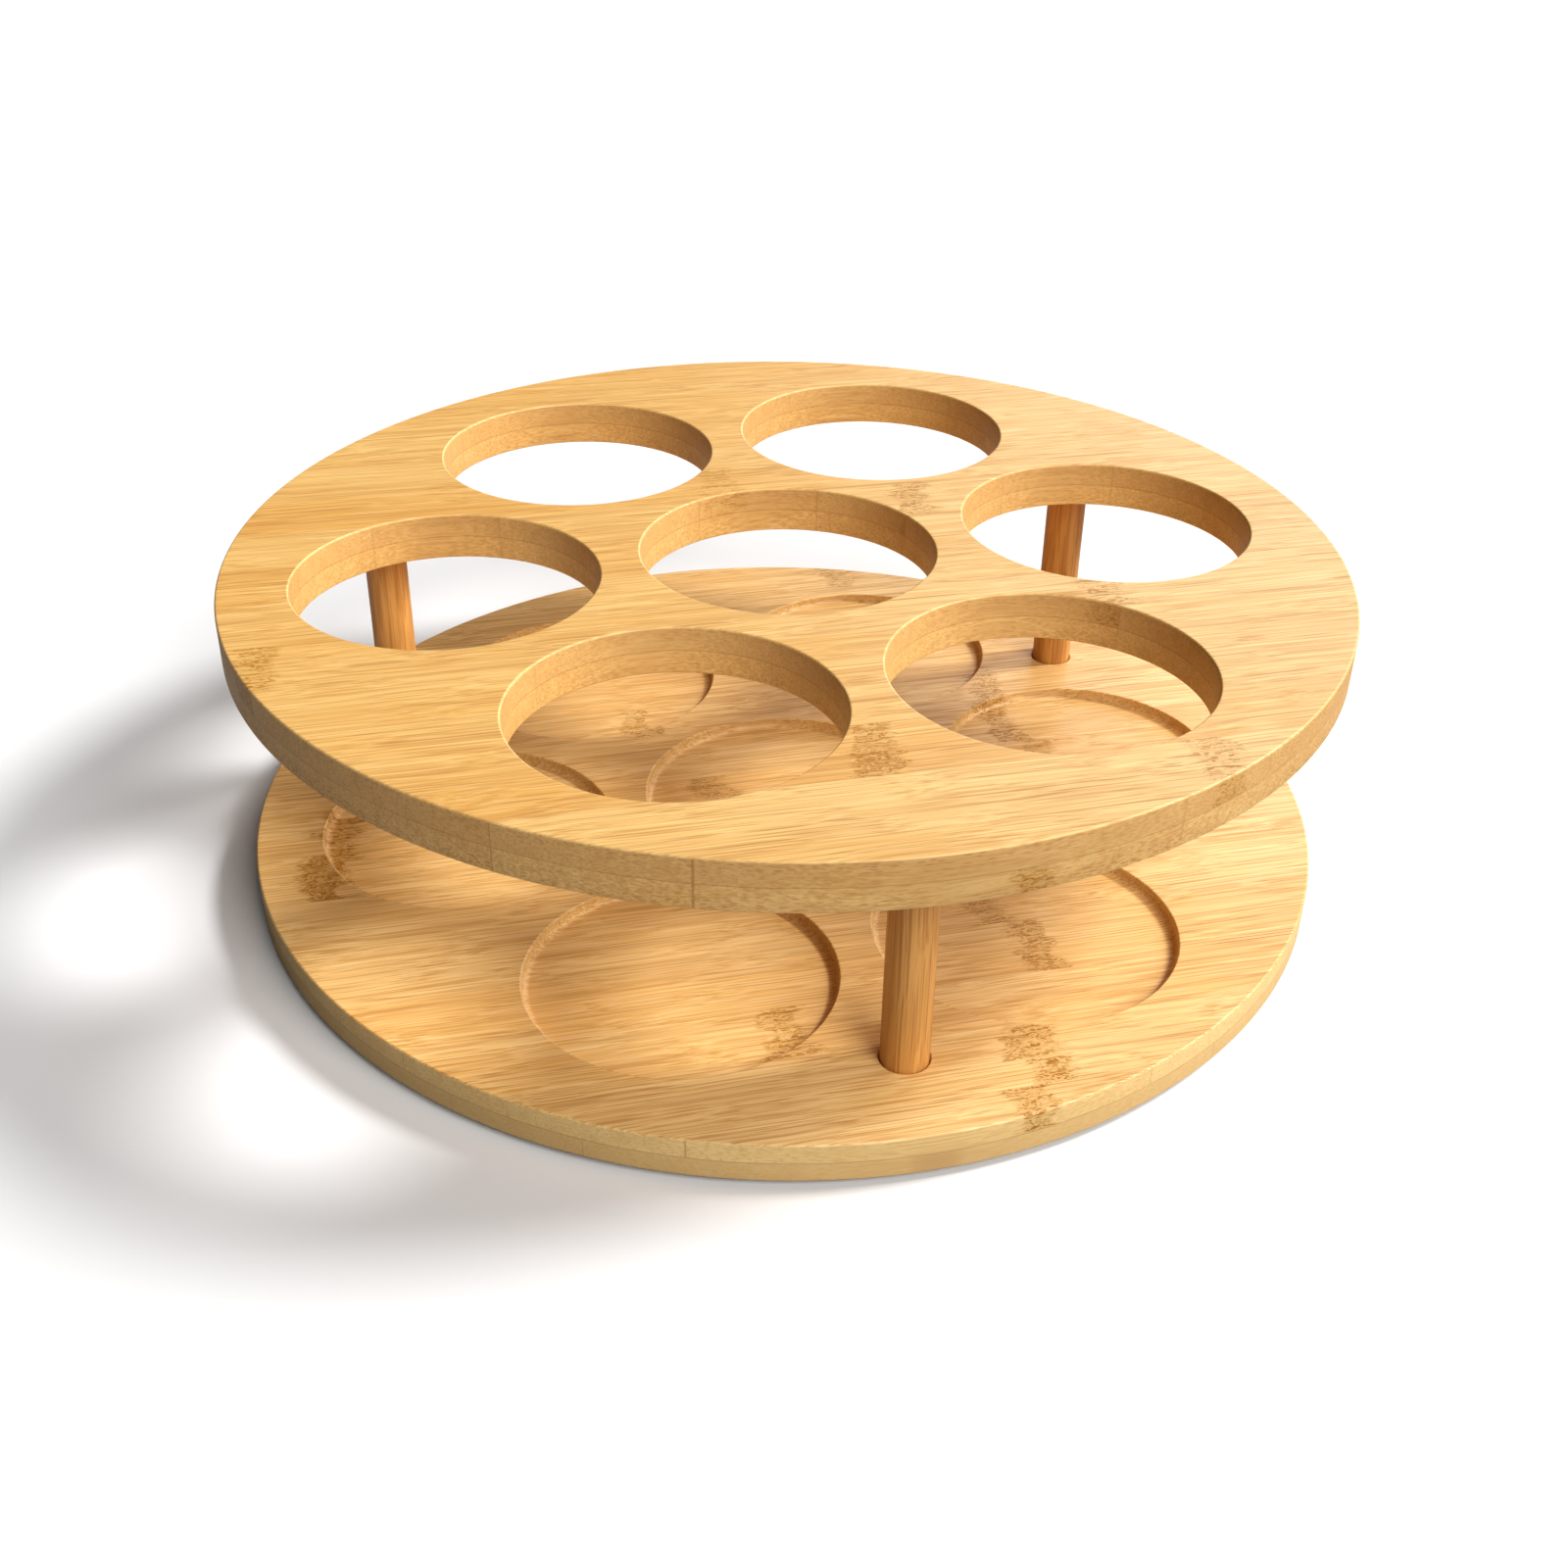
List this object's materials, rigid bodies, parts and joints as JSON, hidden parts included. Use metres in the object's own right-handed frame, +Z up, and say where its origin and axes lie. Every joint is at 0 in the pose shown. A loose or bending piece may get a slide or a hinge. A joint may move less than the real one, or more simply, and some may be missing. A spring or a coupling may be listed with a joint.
{
  "type": "two-tier round bamboo cup and egg holder tray",
  "caption": "Round bamboo holder on two tiers: an upper disc with round through holes, a lower disc with a shallow recess under each, and round posts between.",
  "frame": {"origin": "on the table, under the middle of the holder", "axes": "+Z up along the axis of the round tiers; -Y is the front, where one post stands; the grain runs along X"},
  "size_m": [0.3, 0.3, 0.09],
  "materials": {
    "bamboo_board": "satin",
    "bamboo_post": "satin",
    "screw_steel": "satin",
    "pad_rubber": "matte"
  },
  "bodies": {
    "root": {"upper_tier": "bamboo_board", "lower_tier": "bamboo_board", "post_front": "bamboo_post", "post_right": "bamboo_post", "post_left": "bamboo_post", "screw_front": "screw_steel", "screw_right": "screw_steel", "screw_left": "screw_steel", "pad_back_right": "pad_rubber", "pad_back_left": "pad_rubber", "pad_front_left": "pad_rubber", "pad_front_right": "pad_rubber"}
  },
  "joints": []
}
